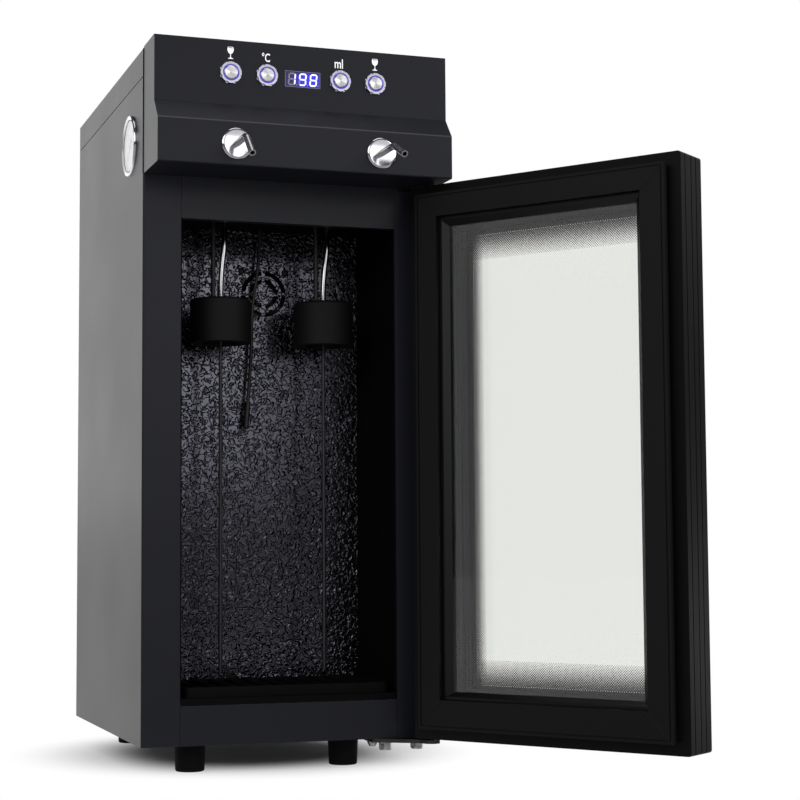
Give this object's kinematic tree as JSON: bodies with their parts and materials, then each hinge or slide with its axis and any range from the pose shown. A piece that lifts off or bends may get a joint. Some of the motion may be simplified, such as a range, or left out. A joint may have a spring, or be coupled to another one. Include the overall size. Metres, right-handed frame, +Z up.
{
  "type": "wine preservation dispenser",
  "caption": "Upright black counter-top wine dispenser: glass-door cold chamber for bottles with gas stoppers, push-button fascia with display and bent steel pouring spouts.",
  "frame": {"origin": "centre of the cabinet's footprint on the surface it stands on", "axes": "+Z up, +X to the right seen from the front, +Y towards the rear; the door stands open at rest"},
  "size_m": [0.4051, 0.5372, 0.5945],
  "materials": {
    "case_paint": "satin black powder coat",
    "door_profile": "black anodised profile, satin",
    "gasket_rubber": "soft black magnetic gasket, matt",
    "inner_plastic": "black moulded plastic",
    "door_glass": "clear float glass, faint green",
    "spacer_metal": "dark grey anodised spacer bar",
    "liner_metal": "black stucco-embossed sheet",
    "foam": "closed-cell insulation foam",
    "rubber": "black moulded rubber",
    "chrome": "polished chrome",
    "steel": "stainless steel",
    "zinc_steel": "zinc-plated steel",
    "display_window": "smoked display face",
    "board": "circuit board laminate",
    "aluminium": "extruded, bare",
    "brass": "machined brass",
    "black_plastic": "black moulded plastic",
    "dial_face": "pale dial, matt",
    "needle_metal": "black needle",
    "hose": "dark flexible hose",
    "ceramic": "white ceramic and spacer block"
  },
  "bodies": {
    "cabinet": {"side_panel_left": "case_paint", "side_panel_right": "case_paint", "top_cover": "case_paint", "base_plate": "case_paint", "rear_panel": "case_paint", "front_bottom_rail": "case_paint", "front_top_rail": "case_paint", "fascia": "case_paint", "liner_side_left": "liner_metal", "liner_side_right": "liner_metal", "liner_floor": "liner_metal", "liner_ceiling": "liner_metal", "liner_back": "liner_metal", "insulation": "foam", "bottle_tray": "rubber", "feet": "rubber", "hinge_bracket_bottom": "zinc_steel", "hinge_bracket_top": "zinc_steel", "hinge_bolts": "zinc_steel", "control_board": "board", "display_module": "display_window", "button_bezels": "steel", "tap_bodies": "chrome", "pinch_valves": "zinc_steel", "gas_manifold": "brass", "gas_inlet": "brass", "power_supply": "aluminium", "mains_inlet": "black_plastic", "cold_sink": "aluminium", "cooler_module": "ceramic", "hot_sink": "aluminium", "inner_fan_frame": "black_plastic", "rear_fan_frame": "black_plastic", "gauge_case": "zinc_steel", "gauge_bezel": "chrome", "gauge_dial": "dial_face", "gauge_glass": "door_glass", "lines_left": "hose", "lines_right": "hose", "sensor_lead": "hose", "sensor_probe": "steel"},
    "door": {"door_frame": "door_profile", "door_inner_frame": "inner_plastic", "door_gasket": "gasket_rubber", "glass_outer": "door_glass", "glass_inner": "door_glass", "glass_spacer": "spacer_metal"},
    "button_1": {"button_1": "steel"},
    "button_2": {"button_2": "steel"},
    "button_3": {"button_3": "steel"},
    "button_4": {"button_4": "steel"},
    "spout_left": {"spout_left": "steel"},
    "spout_right": {"spout_right": "steel"},
    "inner_impeller": {"inner_impeller": "black_plastic"},
    "rear_impeller": {"rear_impeller": "black_plastic"},
    "gauge_needle": {"gauge_needle": "needle_metal"},
    "stopper_left": {"stopper_left": "rubber", "pickup_left": "steel"},
    "stopper_right": {"stopper_right": "rubber", "pickup_right": "steel"}
  },
  "joints": [
    {"name": "door_hinge", "type": "hinge", "parent": "cabinet", "child": "door", "pos_m": [0.1155, -0.172, 0.023], "axis": [0, 0, 1], "range_deg": [-126, 3]},
    {"name": "button_1_press", "type": "slide", "parent": "cabinet", "child": "button_1", "axis": [0, 1, 0], "range_m": [0, 0.0015], "stiffness_N_per_m": 400},
    {"name": "button_2_press", "type": "slide", "parent": "cabinet", "child": "button_2", "axis": [0, 1, 0], "range_m": [0, 0.0015], "stiffness_N_per_m": 400},
    {"name": "button_3_press", "type": "slide", "parent": "cabinet", "child": "button_3", "axis": [0, 1, 0], "range_m": [0, 0.0015], "stiffness_N_per_m": 400},
    {"name": "button_4_press", "type": "slide", "parent": "cabinet", "child": "button_4", "axis": [0, 1, 0], "range_m": [0, 0.0015], "stiffness_N_per_m": 400},
    {"name": "spout_left_swivel", "type": "hinge", "parent": "cabinet", "child": "spout_left", "pos_m": [-0.0603, -0.2072, 0.506], "axis": [0, 1, 0], "range_deg": [-58, 62]},
    {"name": "spout_right_swivel", "type": "hinge", "parent": "cabinet", "child": "spout_right", "pos_m": [0.0627, -0.2072, 0.506], "axis": [0, 1, 0], "range_deg": [-48, 72]},
    {"name": "inner_fan_spin", "type": "hinge", "parent": "cabinet", "child": "inner_impeller", "pos_m": [0.0048, -0.045, 0.4075], "axis": [0, 1, 0], "continuous": true},
    {"name": "rear_fan_spin", "type": "hinge", "parent": "cabinet", "child": "rear_impeller", "pos_m": [0.0048, 0.138, 0.3875], "axis": [0, 1, 0], "continuous": true},
    {"name": "gauge_needle_turn", "type": "hinge", "parent": "cabinet", "child": "gauge_needle", "pos_m": [-0.125, -0.0992, 0.5224], "axis": [1, 0, 0], "range_deg": [0, 270], "stiffness_Nm_per_rad": 0.0002},
    {"name": "stopper_left_lift", "type": "slide", "parent": "cabinet", "child": "stopper_left", "axis": [0, 0, 1], "range_m": [0, 0.02], "deforming": ["lines_left"]},
    {"name": "stopper_right_lift", "type": "slide", "parent": "cabinet", "child": "stopper_right", "axis": [0, 0, 1], "range_m": [0, 0.02], "deforming": ["lines_right"]}
  ]
}
